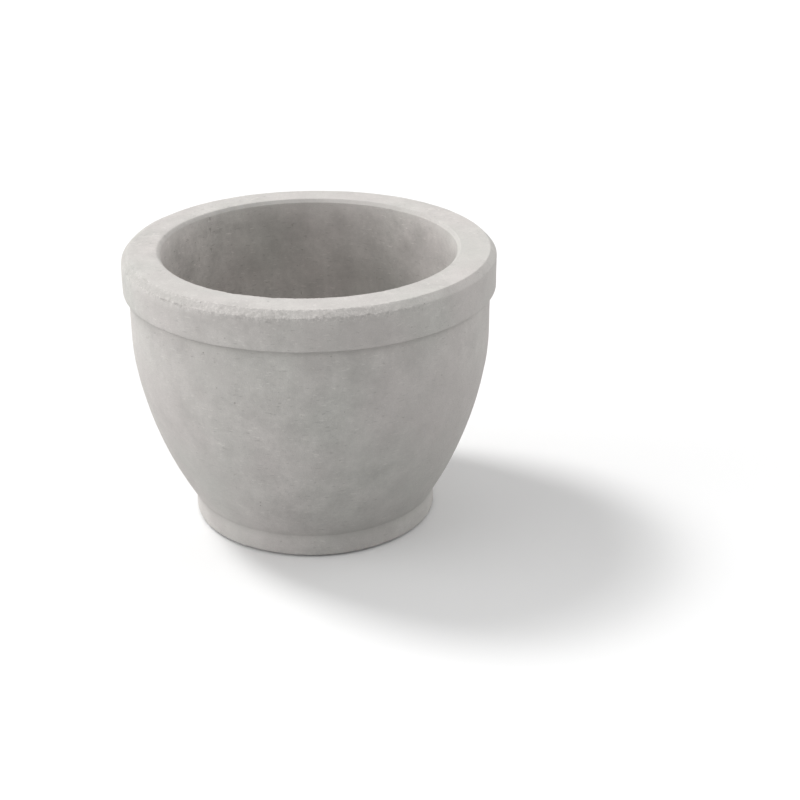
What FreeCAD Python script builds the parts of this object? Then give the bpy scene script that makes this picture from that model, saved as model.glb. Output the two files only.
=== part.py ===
"""Round concrete floor planter: a thick casting on four pads, with a plugged drain and a wire cage inside."""
import FreeCAD, Part
import math
import os

import Sketcher

# Driving sizes in millimetres, apart from the counts and the shares.
SIZES = {
    # The casting, outside.
    "rim_diameter": 430,
    "pot_height": 328,
    "band_height": 45,
    "band_overhang": 6.5,
    "band_edge_radius": 1.5,
    "cove_drop": 3,
    "cove_radius": 3,
    "rim_bevel": 7.5,
    "neck_length": 47,
    "shoulder_radius": 270,
    "shoulder_turn_share": 0.557,
    "foot_diameter": 289,
    "foot_height": 26,
    "foot_edge_radius": 1.5,
    "crease_radius": 3,
    # The casting, inside and below.
    "wall": 39,
    "mouth_bevel": 4.2,
    "floor_thickness": 34,
    "floor_corner_radius": 28,
    "foot_ring_width": 36,
    "recess_depth": 8,
    "recess_draft": 4,
    # The drain sleeve.
    "drain_bore": 26,
    "sleeve_wall": 3,
    "collar_width": 6,
    "collar_thickness": 4,
    "sleeve_gap": 0.15,
    # The drain plug.
    "plug_clearance": 0.3,
    "flange_width": 7,
    "flange_thickness": 5,
    "flange_edge_radius": 1.6,
    "stem_length": 24,
    "stem_tip_bevel": 1.5,
    "rib_height": 0.8,
    "rib_width": 2.4,
    "rib_count": 3,
    "tab_width": 20,
    "tab_height": 17,
    "tab_thickness": 6,
    "tab_edge_radius": 1.2,
    # The pads under the foot.
    "pad_diameter": 24,
    "pad_thickness": 3,
    "pad_seat": 1,
    "pad_bevel": 0.6,
    "pad_gap": 0.15,
    "pad_count": 4,
    # The wire cage in the wall and the floor.
    "wire_diameter": 4,
    "wire_gap": 0.3,
    "wire_count": 8,
    "wire_turn_share": 0.5,
    "top_cover": 20,
    "hoop_inset": 8,
    "bend_radius": 30,
    "drain_cover": 16,
    "floor_ring_diameter": 120,
    "shoulder_hoop_share": 0.25,
    "belly_hoop_share": 0.72,
}

# Sizes that follow from the driving ones: radii from the axis, heights above the ground.
WORKED = {
    "rim_radius": "Dims.rim_diameter / 2",
    "neck_radius": "Worked.rim_radius - Dims.band_overhang",
    "mouth_radius": "Worked.neck_radius - Dims.wall",
    "foot_radius": "Dims.foot_diameter / 2",
    "recess_radius": "Worked.foot_radius - Dims.foot_ring_width",
    "base_z": "Dims.pad_thickness - Dims.pad_seat",
    "recess_z": "Worked.base_z + Dims.recess_depth",
    "floor_z": "Worked.recess_z + Dims.floor_thickness",
    "foot_z": "Worked.base_z + Dims.foot_height",
    "top_z": "Worked.base_z + Dims.pot_height",
    "band_z": "Worked.top_z - Dims.band_height",
    "cove_z": "Worked.band_z - Dims.cove_drop",
    "neck_z": "Worked.cove_z - Dims.neck_length",
    # The shoulder arc leaves the straight neck upright and turns a share of the way to the foot.
    "fall": "atan((Worked.neck_radius - Worked.foot_radius) / (Worked.neck_z - Worked.foot_z)) / 1 deg",
    "shoulder_turn": "Worked.fall * Dims.shoulder_turn_share",
    "turn_cos": "cos(Worked.shoulder_turn * 1 deg)",
    "turn_sin": "sin(Worked.shoulder_turn * 1 deg)",
    "shoulder_axis_r": "Worked.neck_radius - Dims.shoulder_radius",
    "shoulder_end_r": "Worked.shoulder_axis_r + Dims.shoulder_radius * Worked.turn_cos",
    "shoulder_end_z": "Worked.neck_z - Dims.shoulder_radius * Worked.turn_sin",
    # The belly arc goes on from there without a kink and ends at the crease over the foot.
    "run": "Worked.shoulder_end_r - Worked.foot_radius",
    "drop": "Worked.shoulder_end_z - Worked.foot_z",
    "belly_radius": "(Worked.run ^ 2 + Worked.drop ^ 2)"
                    " / (2 * (Worked.run * Worked.turn_cos - Worked.drop * Worked.turn_sin))",
    "belly_axis_r": "Worked.shoulder_end_r - Worked.belly_radius * Worked.turn_cos",
    "belly_axis_z": "Worked.shoulder_end_z + Worked.belly_radius * Worked.turn_sin",
    # The inner wall is the same two arcs, a wall further in, down to the floor.
    "inner_shoulder_radius": "Dims.shoulder_radius - Dims.wall",
    "inner_shoulder_r": "Worked.shoulder_axis_r + Worked.inner_shoulder_radius * Worked.turn_cos",
    "inner_shoulder_z": "Worked.neck_z - Worked.inner_shoulder_radius * Worked.turn_sin",
    "inner_belly_radius": "Worked.belly_radius - Dims.wall",
    "floor_edge_r": "Worked.belly_axis_r"
                    " + sqrt(Worked.inner_belly_radius ^ 2 - (Worked.belly_axis_z - Worked.floor_z) ^ 2)",
    # The sleeve round the drain, and its seat in the casting.
    "bore_radius": "Dims.drain_bore / 2",
    "sleeve_radius": "Worked.bore_radius + Dims.sleeve_wall",
    "collar_radius": "Worked.sleeve_radius + Dims.collar_width",
    "collar_z": "Worked.floor_z - Dims.collar_thickness",
    "sleeve_seat_radius": "Worked.sleeve_radius + Dims.sleeve_gap",
    "collar_seat_radius": "Worked.collar_radius + Dims.sleeve_gap",
    # The plug, whose flange lies on the collar.
    "rib_radius": "Worked.bore_radius - Dims.plug_clearance",
    "stem_radius": "Worked.rib_radius - Dims.rib_height",
    "stem_tip_z": "Worked.floor_z - Dims.stem_length",
    "stem_tip_radius": "Worked.stem_radius - Dims.stem_tip_bevel",
    "flange_radius": "Worked.bore_radius + Dims.flange_width",
    "flange_z": "Worked.floor_z + Dims.flange_thickness",
    "tab_base_z": "Worked.floor_z + Dims.flange_thickness / 2",
    "tab_arch_radius": "Dims.tab_width / 2",
    "tab_arch_z": "Worked.flange_z + Dims.tab_height - Worked.tab_arch_radius",
    # The pads, on the middle of the foot ring.
    "pad_radius": "Dims.pad_diameter / 2",
    "pad_seat_radius": "Worked.pad_radius + Dims.pad_gap",
    "pad_circle_radius": "Worked.foot_radius - Dims.foot_ring_width / 2",
    # The upright wires run down the middle of the wall and turn in along the middle of the floor.
    "wire_radius": "Dims.wire_diameter / 2",
    "wire_pitch": "Dims.wire_diameter + Dims.wire_gap",
    "upright_radius": "Worked.neck_radius - Dims.wall / 2",
    "upright_top_z": "Worked.top_z - Dims.top_cover",
    "mid_shoulder_radius": "Dims.shoulder_radius - Dims.wall / 2",
    "mid_shoulder_r": "Worked.shoulder_axis_r + Worked.mid_shoulder_radius * Worked.turn_cos",
    "mid_shoulder_z": "Worked.neck_z - Worked.mid_shoulder_radius * Worked.turn_sin",
    "mid_belly_radius": "Worked.belly_radius - Dims.wall / 2",
    "floor_mid_z": "Worked.recess_z + Dims.floor_thickness / 2",
    "bend_axis_z": "Worked.floor_mid_z + Dims.bend_radius",
    "bend_axis_r": "Worked.belly_axis_r + sqrt((Worked.mid_belly_radius - Dims.bend_radius) ^ 2"
                   " - (Worked.belly_axis_z - Worked.bend_axis_z) ^ 2)",
    "bend_turn": "asin((Worked.belly_axis_z - Worked.bend_axis_z)"
                 " / (Worked.mid_belly_radius - Dims.bend_radius)) / 1 deg",
    "bend_start_r": "Worked.belly_axis_r + Worked.mid_belly_radius * cos(Worked.bend_turn * 1 deg)",
    "bend_start_z": "Worked.belly_axis_z - Worked.mid_belly_radius * sin(Worked.bend_turn * 1 deg)",
    "wire_end_r": "Worked.collar_radius + Dims.drain_cover",
    # The hoops lie against the outer side of the uprights.
    "hoop_neck_radius": "Worked.upright_radius + Worked.wire_pitch",
    "hoop_belly_radius": "Worked.mid_belly_radius + Worked.wire_pitch",
    "rim_hoop_z": "Worked.upright_top_z - Dims.hoop_inset",
    "belly_turn": "Worked.bend_turn - Worked.shoulder_turn",
    "shoulder_hoop_turn": "Worked.shoulder_turn + Worked.belly_turn * Dims.shoulder_hoop_share",
    "belly_hoop_turn": "Worked.shoulder_turn + Worked.belly_turn * Dims.belly_hoop_share",
    "floor_ring_radius": "Dims.floor_ring_diameter / 2",
    "floor_ring_z": "Worked.floor_mid_z + Worked.wire_pitch",
}

COUNTER_CLOCKWISE = 1
CLOCKWISE = -1

# How near two measures of one edge or volume agree, as a share of their size.
CLOSE_SHARE = 1e-6

doc = FreeCAD.newDocument("planter")


def make_sheet():
    """The driving sizes, one named cell each."""
    sheet = doc.addObject("Spreadsheet::Sheet", "Dims")
    for row, (name, size) in enumerate(SIZES.items(), start=1):
        sheet.set(f"A{row}", name)
        sheet.set(f"B{row}", str(size))
        sheet.setAlias(f"B{row}", name)
    doc.recompute()
    return sheet


def make_worked():
    """The sizes that follow from the driving ones, each bound to its formula."""
    values = doc.addObject("App::VarSet", "Worked")
    for name, formula in WORKED.items():
        values.addProperty("App::PropertyFloat", name, "Worked")
        values.setExpression(name, formula)
    doc.recompute()


def new_body(label):
    """An empty body whose label names its file."""
    body = doc.addObject("PartDesign::Body", label)
    body.Label = label
    return body


def new_sketch(body, name, plane, height=None):
    """A sketch on one of the body's own planes, raised along its normal to the height's formula."""
    sketch = body.newObject("Sketcher::SketchObject", name)
    support = next(f for f in body.Origin.OriginFeatures if f.Role == plane)
    sketch.AttachmentSupport = (support, [""])
    sketch.MapMode = "FlatFace"
    if height:
        sketch.setExpression("AttachmentOffset.Base.z", height)
    return sketch


def value_of(formula):
    """A formula's present value."""
    return float(sheet.evalExpression(formula))


def count_of(name):
    """How many of a thing the sheet asks for."""
    return int(value_of(f"Dims.{name}"))


def pin_point(sketch, edge, end, place):
    """Ties one end of an edge to its two formulas, where None means on the axis."""
    axes = (("DistanceX", -2), ("DistanceY", -1))
    for formula, (kind, axis) in zip(place, axes):
        if formula is None:
            sketch.addConstraint(Sketcher.Constraint("PointOnObject", edge, end, axis))
            continue
        index = sketch.addConstraint(Sketcher.Constraint(kind, -1, 1, edge, end, value_of(formula)))
        sketch.setExpression(f"Constraints[{index}]", formula)


def arc_between(start, finish, radius, turn):
    """The arc under half a circle from start to finish that turns the given way."""
    chord = finish - start
    rise = radius - math.sqrt(radius ** 2 - (chord.Length / 2) ** 2)
    outward = FreeCAD.Vector(chord.y, -chord.x, 0).normalize() * turn
    return Part.Arc(start, (start + finish) / 2 + outward * rise, finish)


def draw_outline(sketch, corners, closed=True):
    """Lines and arcs through corners, each (x, y) or (x, y, radius, turn) with an arc to the next one."""
    places = [
        FreeCAD.Vector(*(value_of(c) if c else 0 for c in corner[:2]), 0) for corner in corners
    ]
    links = len(corners) if closed else len(corners) - 1
    ends = []
    for i in range(links):
        start, finish = places[i], places[(i + 1) % len(corners)]
        if len(corners[i]) == 2:
            sketch.addGeometry(Part.LineSegment(start, finish), False)
            ends.append((1, 2))
            continue
        radius, turn = corners[i][2:]
        sketch.addGeometry(arc_between(start, finish, value_of(radius), turn), False)
        ends.append((1, 2) if turn == COUNTER_CLOCKWISE else (2, 1))
    for i in range(links):
        pin_point(sketch, i, ends[i][0], corners[i][:2])
    for i in range(links if closed else links - 1):
        following = (i + 1) % links
        sketch.addConstraint(
            Sketcher.Constraint("Coincident", i, ends[i][1], following, ends[following][0])
        )
    if not closed:
        pin_point(sketch, links - 1, ends[-1][1], corners[-1][:2])
    for i in range(links):
        if len(corners[i]) == 2:
            continue
        radius = corners[i][2]
        index = sketch.addConstraint(Sketcher.Constraint("Radius", i, value_of(radius)))
        sketch.setExpression(f"Constraints[{index}]", radius)


def draw_circle(sketch, x, radius):
    """A circle whose centre lies on the sketch's first axis."""
    centre = FreeCAD.Vector(value_of(x), 0, 0)
    edge = sketch.addGeometry(Part.Circle(centre, FreeCAD.Vector(0, 0, 1), value_of(radius)), False)
    pin_point(sketch, edge, 3, (x, None))
    index = sketch.addConstraint(Sketcher.Constraint("Radius", edge, value_of(radius)))
    sketch.setExpression(f"Constraints[{index}]", radius)


def turn_outline(body, name, corners):
    """A solid of revolution about the upright axis."""
    sketch = new_sketch(body, f"{name}_outline", "XZ_Plane")
    draw_outline(sketch, corners)
    turned = body.newObject("PartDesign::Revolution", f"{name}_turned")
    turned.Profile = sketch
    turned.ReferenceAxis = (sketch, ["V_Axis"])
    turned.Angle = 360
    doc.recompute()


def round_edges(body, name, wanted, radius):
    """Rounds the edges of the body's tip that the test picks out."""
    base = body.Tip
    edges = [f"Edge{i}" for i, edge in enumerate(base.Shape.Edges, start=1) if wanted(edge)]
    rounded = body.newObject("PartDesign::Fillet", name)
    rounded.Base = (base, edges)
    rounded.setExpression("Radius", radius)
    doc.recompute()


def is_circle_at(radius, height):
    """A test for circular edges round the upright axis at a radius and a height."""
    wanted = (value_of(radius), value_of(height))

    def test(edge):
        if not isinstance(edge.Curve, Part.Circle):
            return False
        found = (edge.Curve.Radius, edge.Curve.Center.z)
        return all(math.isclose(a, b, rel_tol=CLOSE_SHARE) for a, b in zip(found, wanted))

    return test


def make_casting():
    """The pot as cast: rim band, neck, belly and foot ring, with the drain's seat and the pads' seats."""
    body = new_body("casting")
    turn_outline(body, "casting", [
        ("Worked.recess_radius", "Worked.base_z"),
        ("Worked.foot_radius", "Worked.base_z"),
        ("Worked.foot_radius", "Worked.foot_z", "Worked.belly_radius", COUNTER_CLOCKWISE),
        ("Worked.shoulder_end_r", "Worked.shoulder_end_z", "Dims.shoulder_radius", COUNTER_CLOCKWISE),
        ("Worked.neck_radius", "Worked.neck_z"),
        ("Worked.neck_radius", "Worked.cove_z"),
        ("Worked.rim_radius", "Worked.band_z"),
        ("Worked.rim_radius", "Worked.top_z - Dims.rim_bevel"),
        ("Worked.rim_radius - Dims.rim_bevel", "Worked.top_z"),
        ("Worked.mouth_radius + Dims.mouth_bevel", "Worked.top_z"),
        ("Worked.mouth_radius", "Worked.top_z - Dims.mouth_bevel"),
        ("Worked.mouth_radius", "Worked.neck_z", "Worked.inner_shoulder_radius", CLOCKWISE),
        ("Worked.inner_shoulder_r", "Worked.inner_shoulder_z", "Worked.inner_belly_radius", CLOCKWISE),
        ("Worked.floor_edge_r", "Worked.floor_z"),
        ("Worked.collar_seat_radius", "Worked.floor_z"),
        ("Worked.collar_seat_radius", "Worked.collar_z"),
        ("Worked.sleeve_seat_radius", "Worked.collar_z"),
        ("Worked.sleeve_seat_radius", "Worked.recess_z"),
        ("Worked.recess_radius - Dims.recess_draft", "Worked.recess_z"),
    ])
    for name, radius, height in (
        ("foot_edge", "Worked.foot_radius", "Worked.base_z"),
        ("crease", "Worked.foot_radius", "Worked.foot_z"),
        ("cove", "Worked.neck_radius", "Worked.cove_z"),
        ("band_edge", "Worked.rim_radius", "Worked.band_z"),
        ("floor_corner", "Worked.floor_edge_r", "Worked.floor_z"),
    ):
        round_edges(body, f"{name}_round", is_circle_at(radius, height), f"Dims.{name}_radius")
    seat_pads(body)
    return body


def seat_pads(body):
    """Shallow round seats in the foot ring, one for each pad."""
    whole = body.Shape.Volume
    sketch = new_sketch(body, "pad_seat_outline", "XY_Plane", "Worked.base_z")
    draw_circle(sketch, "Worked.pad_circle_radius", "Worked.pad_seat_radius")
    seat = body.newObject("PartDesign::Pocket", "pad_seat")
    seat.Profile = sketch
    seat.Reversed = True
    seat.setExpression("Length", "Dims.pad_seat")
    doc.recompute()
    seats = body.newObject("PartDesign::PolarPattern", "pad_seats")
    seats.Originals = [seat]
    seats.Axis = (sketch, ["N_Axis"])
    seats.Angle = 360
    seats.setExpression("Occurrences", "Dims.pad_count")
    body.Tip = seats
    doc.recompute()
    cut = value_of("Dims.pad_count * pi * Worked.pad_seat_radius ^ 2 * Dims.pad_seat")
    if not math.isclose(body.Shape.Volume, whole - cut, rel_tol=CLOSE_SHARE):
        raise RuntimeError("the pads' seats are not cut to their size")


def make_sleeve():
    """The tube with a collar that the pot is cast round, open from the floor to the recess below."""
    body = new_body("drain_sleeve")
    turn_outline(body, "sleeve", [
        ("Worked.bore_radius", "Worked.recess_z"),
        ("Worked.sleeve_radius", "Worked.recess_z"),
        ("Worked.sleeve_radius", "Worked.collar_z"),
        ("Worked.collar_radius", "Worked.collar_z"),
        ("Worked.collar_radius", "Worked.floor_z"),
        ("Worked.bore_radius", "Worked.floor_z"),
    ])
    return body


def make_plug():
    """The stopper: a ribbed stem, a flange that lies on the collar, and a tab to pull it by."""
    body = new_body("drain_plug")
    corners = [
        (None, "Worked.stem_tip_z"),
        ("Worked.stem_tip_radius", "Worked.stem_tip_z"),
        ("Worked.stem_radius", "Worked.stem_tip_z + Dims.stem_tip_bevel"),
    ]
    for number in range(1, count_of("rib_count") + 1):
        middle = f"Worked.stem_tip_z + Dims.stem_length * {number} / (Dims.rib_count + 1)"
        corners += [
            ("Worked.stem_radius", f"{middle} - Dims.rib_width / 2"),
            ("Worked.rib_radius", middle),
            ("Worked.stem_radius", f"{middle} + Dims.rib_width / 2"),
        ]
    corners += [
        ("Worked.stem_radius", "Worked.floor_z"),
        ("Worked.flange_radius", "Worked.floor_z"),
        ("Worked.flange_radius", "Worked.flange_z"),
        (None, "Worked.flange_z"),
    ]
    turn_outline(body, "plug", corners)
    round_edges(
        body,
        "flange_round",
        is_circle_at("Worked.flange_radius", "Worked.flange_z"),
        "Dims.flange_edge_radius",
    )
    sketch = new_sketch(body, "tab_outline", "XZ_Plane")
    draw_outline(sketch, [
        ("-Worked.tab_arch_radius", "Worked.tab_base_z"),
        ("Worked.tab_arch_radius", "Worked.tab_base_z"),
        ("Worked.tab_arch_radius", "Worked.tab_arch_z", "Worked.tab_arch_radius", COUNTER_CLOCKWISE),
        (None, "Worked.tab_arch_z + Worked.tab_arch_radius", "Worked.tab_arch_radius", COUNTER_CLOCKWISE),
        ("-Worked.tab_arch_radius", "Worked.tab_arch_z"),
    ])
    tab = body.newObject("PartDesign::Pad", "tab")
    tab.Profile = sketch
    tab.SideType = "Symmetric"
    tab.setExpression("Length", "Dims.tab_thickness")
    doc.recompute()
    arch_z = value_of("Worked.tab_arch_z")
    round_edges(
        body,
        "tab_round",
        lambda edge: isinstance(edge.Curve, Part.Circle)
        and math.isclose(edge.Curve.Center.z, arch_z, rel_tol=CLOSE_SHARE)
        and abs(edge.Curve.Axis.y) > CLOSE_SHARE,
        "Dims.tab_edge_radius",
    )
    return body


def make_pad(number):
    """One round pad, in its seat in the foot ring and proud of it."""
    body = new_body(f"foot_pad_{number}")
    turn_outline(body, "pad", [
        (None, None),
        ("Worked.pad_radius - Dims.pad_bevel", None),
        ("Worked.pad_radius", "Dims.pad_bevel"),
        ("Worked.pad_radius", "Dims.pad_thickness"),
        (None, "Dims.pad_thickness"),
    ])
    turn = f"{number - 1} * 360 deg / Dims.pad_count"
    body.setExpression("Placement.Base.x", f"Worked.pad_circle_radius * cos({turn})")
    body.setExpression("Placement.Base.y", f"Worked.pad_circle_radius * sin({turn})")
    return body


def make_hoop(label, radius, height):
    """One closed ring of wire, level, round the upright axis."""
    hoop = doc.addObject("Part::Torus", label)
    hoop.Label = label
    hoop.setExpression("Radius1", radius)
    hoop.setExpression("Radius2", "Worked.wire_radius")
    hoop.setExpression("Placement.Base.z", height)
    return hoop


def make_belly_hoop(label, turn):
    """A ring against the uprights where the belly has turned by the given angle."""
    return make_hoop(
        label,
        f"Worked.belly_axis_r + Worked.hoop_belly_radius * cos({turn} * 1 deg)",
        f"Worked.belly_axis_z - Worked.hoop_belly_radius * sin({turn} * 1 deg)",
    )


def make_upright(number):
    """One bent wire: down the wall, round the bend and in along the floor towards the drain."""
    body = new_body(f"upright_wire_{number}")
    path = new_sketch(body, "wire_path", "XZ_Plane")
    draw_outline(path, [
        ("Worked.upright_radius", "Worked.upright_top_z"),
        ("Worked.upright_radius", "Worked.neck_z", "Worked.mid_shoulder_radius", CLOCKWISE),
        ("Worked.mid_shoulder_r", "Worked.mid_shoulder_z", "Worked.mid_belly_radius", CLOCKWISE),
        ("Worked.bend_start_r", "Worked.bend_start_z", "Dims.bend_radius", CLOCKWISE),
        ("Worked.bend_axis_r", "Worked.floor_mid_z"),
        ("Worked.wire_end_r", "Worked.floor_mid_z"),
    ], closed=False)
    section = new_sketch(body, "wire_section", "XY_Plane", "Worked.upright_top_z")
    draw_circle(section, "Worked.upright_radius", "Worked.wire_radius")
    wire = body.newObject("PartDesign::AdditivePipe", "wire")
    wire.Profile = section
    wire.Spine = path
    turn = f"({number} - Dims.wire_turn_share) * 360 deg / Dims.wire_count"
    body.setExpression("Placement.Rotation.Angle", turn)
    doc.recompute()
    return body


def make_cage():
    """The welded cage: hoops round upright wires, with a ring on their ends in the floor."""
    hoops = [
        make_hoop("rim_hoop", "Worked.hoop_neck_radius", "Worked.rim_hoop_z"),
        make_hoop("neck_hoop", "Worked.hoop_neck_radius", "Worked.neck_z"),
        make_belly_hoop("shoulder_hoop", "Worked.shoulder_hoop_turn"),
        make_belly_hoop("belly_hoop", "Worked.belly_hoop_turn"),
        make_hoop("floor_ring", "Worked.floor_ring_radius", "Worked.floor_ring_z"),
    ]
    return hoops + [make_upright(n) for n in range(1, count_of("wire_count") + 1)]


def cast_round(casting, cage):
    """The concrete itself: the casting less the wires that it is cast round."""
    wires = doc.addObject("Part::Compound", "wires")
    wires.Links = cage
    shell = doc.addObject("Part::Cut", "concrete_shell")
    shell.Label = "concrete_shell"
    shell.Base = casting
    shell.Tool = wires
    doc.recompute()
    return shell


def check_document(pieces):
    """Stops if any object failed to build, or a piece has no sound solid."""
    for thing in doc.Objects:
        if {"Invalid", "Error"} & set(thing.State):
            raise RuntimeError(f"{thing.Name} did not build: {thing.State}")
    for piece in pieces:
        if piece.Shape.isNull() or not piece.Shape.isValid() or len(piece.Shape.Solids) != 1:
            raise RuntimeError(f"{piece.Label} is not one sound solid")


def export_pieces(pieces):
    """Writes each piece to a file of its own."""
    os.makedirs("parts", exist_ok=True)
    for piece in pieces:
        piece.Shape.exportStep(os.path.join("parts", f"{piece.Label}.step"))
        print(f"{piece.Label}: {piece.Shape.Volume:.1f} mm3")


sheet = make_sheet()
make_worked()
cage = make_cage()
pads = [make_pad(n) for n in range(1, count_of("pad_count") + 1)]
pieces = [cast_round(make_casting(), cage), make_sleeve(), make_plug(), *pads, *cage]
doc.recompute()
check_document(pieces)
export_pieces(pieces)
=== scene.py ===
"""Dresses the concrete planter: a worn casting with pores, a rubber plug and pads, in plain studio light."""
import logging
import math
import random
from dataclasses import dataclass, field, replace
from enum import Enum

import bmesh
import bpy
from bmesh.types import BMesh, BMFace, BMVert
from bpy.types import ID, Material, Node, NodeSocket, NodeTree, Object
from mathutils import Matrix, Vector, kdtree, noise


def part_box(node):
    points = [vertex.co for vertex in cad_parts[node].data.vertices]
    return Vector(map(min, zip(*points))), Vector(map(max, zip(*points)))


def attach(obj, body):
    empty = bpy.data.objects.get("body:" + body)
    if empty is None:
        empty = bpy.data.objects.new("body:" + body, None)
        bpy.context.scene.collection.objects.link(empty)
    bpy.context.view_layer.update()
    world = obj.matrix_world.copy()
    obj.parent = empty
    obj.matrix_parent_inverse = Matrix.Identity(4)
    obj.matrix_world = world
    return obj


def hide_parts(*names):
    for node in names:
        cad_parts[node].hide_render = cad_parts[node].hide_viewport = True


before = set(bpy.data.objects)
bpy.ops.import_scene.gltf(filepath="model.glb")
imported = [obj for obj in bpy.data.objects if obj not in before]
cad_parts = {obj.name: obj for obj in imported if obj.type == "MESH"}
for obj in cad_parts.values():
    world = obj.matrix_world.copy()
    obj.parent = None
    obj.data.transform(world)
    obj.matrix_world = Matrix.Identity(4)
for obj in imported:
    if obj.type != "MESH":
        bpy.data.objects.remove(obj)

LOG = logging.getLogger("planter")
UP = Vector((0.0, 0.0, 1.0))
ACROSS = Vector((0.0, -1.0, 0.0))
FULL_TURN = 2.0 * math.pi
# Lengths that differ by less, in metres, count as the same.
SAME = 1e-6
# A mix node has sockets for every kind of data. These are the numbers of those for colours.
MIX_SHARE, MIX_FIRST, MIX_SECOND, MIX_RESULT = "0", "6", "7", 2

Triple = tuple[float, float, float]
Colour = tuple[float, float, float, float]
WHITE: Colour = (1.0, 1.0, 1.0, 1.0)


class Side(Enum):
    """The stretches of the casting that wear and pit in their own way."""

    UNDERSIDE = "underside"
    OUTSIDE = "outside"
    RIM = "rim"
    INSIDE = "inside"


def placed(name: str, data: ID) -> Object:
    """Makes an object and links it to the scene.

    Args:
        name: The object's name.
        data: Its mesh, lamp or camera.

    Returns:
        The new object.
    """
    made = bpy.data.objects.new(name, data)
    bpy.context.scene.collection.objects.link(made)
    return made


def as_object(name: str, mesh: BMesh) -> Object:
    """Makes an object of a mesh that is done.

    Args:
        name: The object's name.
        mesh: The mesh, which is freed.

    Returns:
        The new object.
    """
    data = bpy.data.meshes.new(name)
    mesh.to_mesh(data)
    mesh.free()
    return placed(name, data)


@dataclass(frozen=True)
class Span:
    """A span of a value and the span that it becomes, held at its ends.

    Attributes:
        low: Where the span starts.
        high: Where it ends.
        first: What its start becomes.
        last: What its end becomes.
    """

    low: float = 0.0
    high: float = 1.0
    first: float = 0.0
    last: float = 1.0


@dataclass(frozen=True)
class Cloud:
    """A cloudy noise in the object's own coordinates.

    Attributes:
        size: The width of its blotches, in metres, or in steps of the stretched coordinates.
        detail: How many finer layers it has.
        rough: How strong those are.
        span: What its values become, where that is one span.
        stretch: Factors on the coordinates along X, Y and Z, or None where they stay as they are.
        shift: What is added to the stretched coordinates.
    """

    size: float
    detail: float
    rough: float
    span: Span = Span()
    stretch: Triple | None = None
    shift: Triple = (0.0, 0.0, 0.0)


@dataclass(frozen=True)
class Relief:
    """A fine relief in the shading.

    Attributes:
        depth: What a height of 1 stands for, in metres.
        strength: How strongly it shows.
    """

    depth: float
    strength: float


@dataclass
class NodeBoard:
    """A small helper that places shader nodes and joins them.

    Attributes:
        tree: The node tree that is filled.
    """

    tree: NodeTree

    def feed(self, node: Node, links: dict[str, object]) -> None:
        """Fills the inputs of a node.

        Args:
            node: The node.
            links: What each input, by name or number, takes: an output socket to link, or a plain value.
        """
        for name, value in links.items():
            socket = node.inputs[int(name)] if name.isdigit() else node.inputs[name]
            if isinstance(value, NodeSocket):
                self.tree.links.new(value, socket)
            else:
                socket.default_value = value

    def add(self, kind: str, links: dict[str, object] | None = None, **settings: object) -> Node:
        """Adds a node.

        Args:
            kind: The node's type name.
            links: What its inputs take, as feed has it.
            **settings: Properties set on the node itself.

        Returns:
            The new node.
        """
        node = self.tree.nodes.new(kind)
        for name, value in settings.items():
            setattr(node, name, value)
        self.feed(node, links or {})
        return node

    def place(self) -> NodeSocket:
        """The object's own coordinates, in metres."""
        return self.add("ShaderNodeTexCoord").outputs["Object"]

    def noted(self, name: str) -> NodeSocket:
        """A value that the mesh notes at each of its points."""
        return self.add("ShaderNodeAttribute", attribute_name=name).outputs["Fac"]

    def noise(self, cloud: Cloud) -> NodeSocket:
        """Cloudy noise.

        Args:
            cloud: The noise's sizes.

        Returns:
            Its value from 0 to 1.
        """
        at = self.place()
        if cloud.stretch:
            mapping = {"Vector": at, "Scale": cloud.stretch, "Location": cloud.shift}
            at = self.add("ShaderNodeMapping", mapping).outputs["Vector"]
        links = {"Vector": at, "Scale": 1.0 / cloud.size, "Detail": cloud.detail, "Roughness": cloud.rough}
        return self.add("ShaderNodeTexNoise", links).outputs["Fac"]

    def layer(self, cloud: Cloud) -> NodeSocket:
        """Cloudy noise, mapped to what its values become."""
        return self.ramp(self.noise(cloud), cloud.span)

    def ramp(self, value: NodeSocket, span: Span) -> NodeSocket:
        """Maps a span of a value to another span.

        Args:
            value: What is mapped.
            span: The two spans.

        Returns:
            The mapped value.
        """
        links = {"Value": value, "From Min": span.low, "From Max": span.high}
        links |= {"To Min": span.first, "To Max": span.last}
        return self.add("ShaderNodeMapRange", links, clamp=True).outputs["Result"]

    def maths(self, operation: str, *values: object) -> NodeSocket:
        """The result of a named operation on plain values or sockets."""
        links = {str(i): value for i, value in enumerate(values)}
        return self.add("ShaderNodeMath", links, operation=operation).outputs["Value"]

    def mix(self, share: object, first: object, second: object, blend: str = "MIX") -> NodeSocket:
        """Two colours or sockets, mixed or blended by the share that is taken of the second."""
        links = {MIX_SHARE: share, MIX_FIRST: first, MIX_SECOND: second}
        return self.add("ShaderNodeMix", links, data_type="RGBA", blend_type=blend).outputs[MIX_RESULT]

    def grey(self, value: NodeSocket) -> NodeSocket:
        """A grey colour of the given value."""
        links = dict.fromkeys(("Red", "Green", "Blue"), value)
        return self.add("ShaderNodeCombineColor", links).outputs["Color"]

    def relief(self, height: NodeSocket, relief: Relief, under: NodeSocket | None = None) -> NodeSocket:
        """A fine relief in the shading.

        Args:
            height: The relief's height, from 0 to 1.
            relief: Its depth and strength.
            under: A relief that this one lies on.

        Returns:
            The bent normal.
        """
        links: dict[str, object] = {"Height": height, "Distance": relief.depth, "Strength": relief.strength}
        if under is not None:
            links["Normal"] = under
        return self.add("ShaderNodeBump", links).outputs["Normal"]


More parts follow.
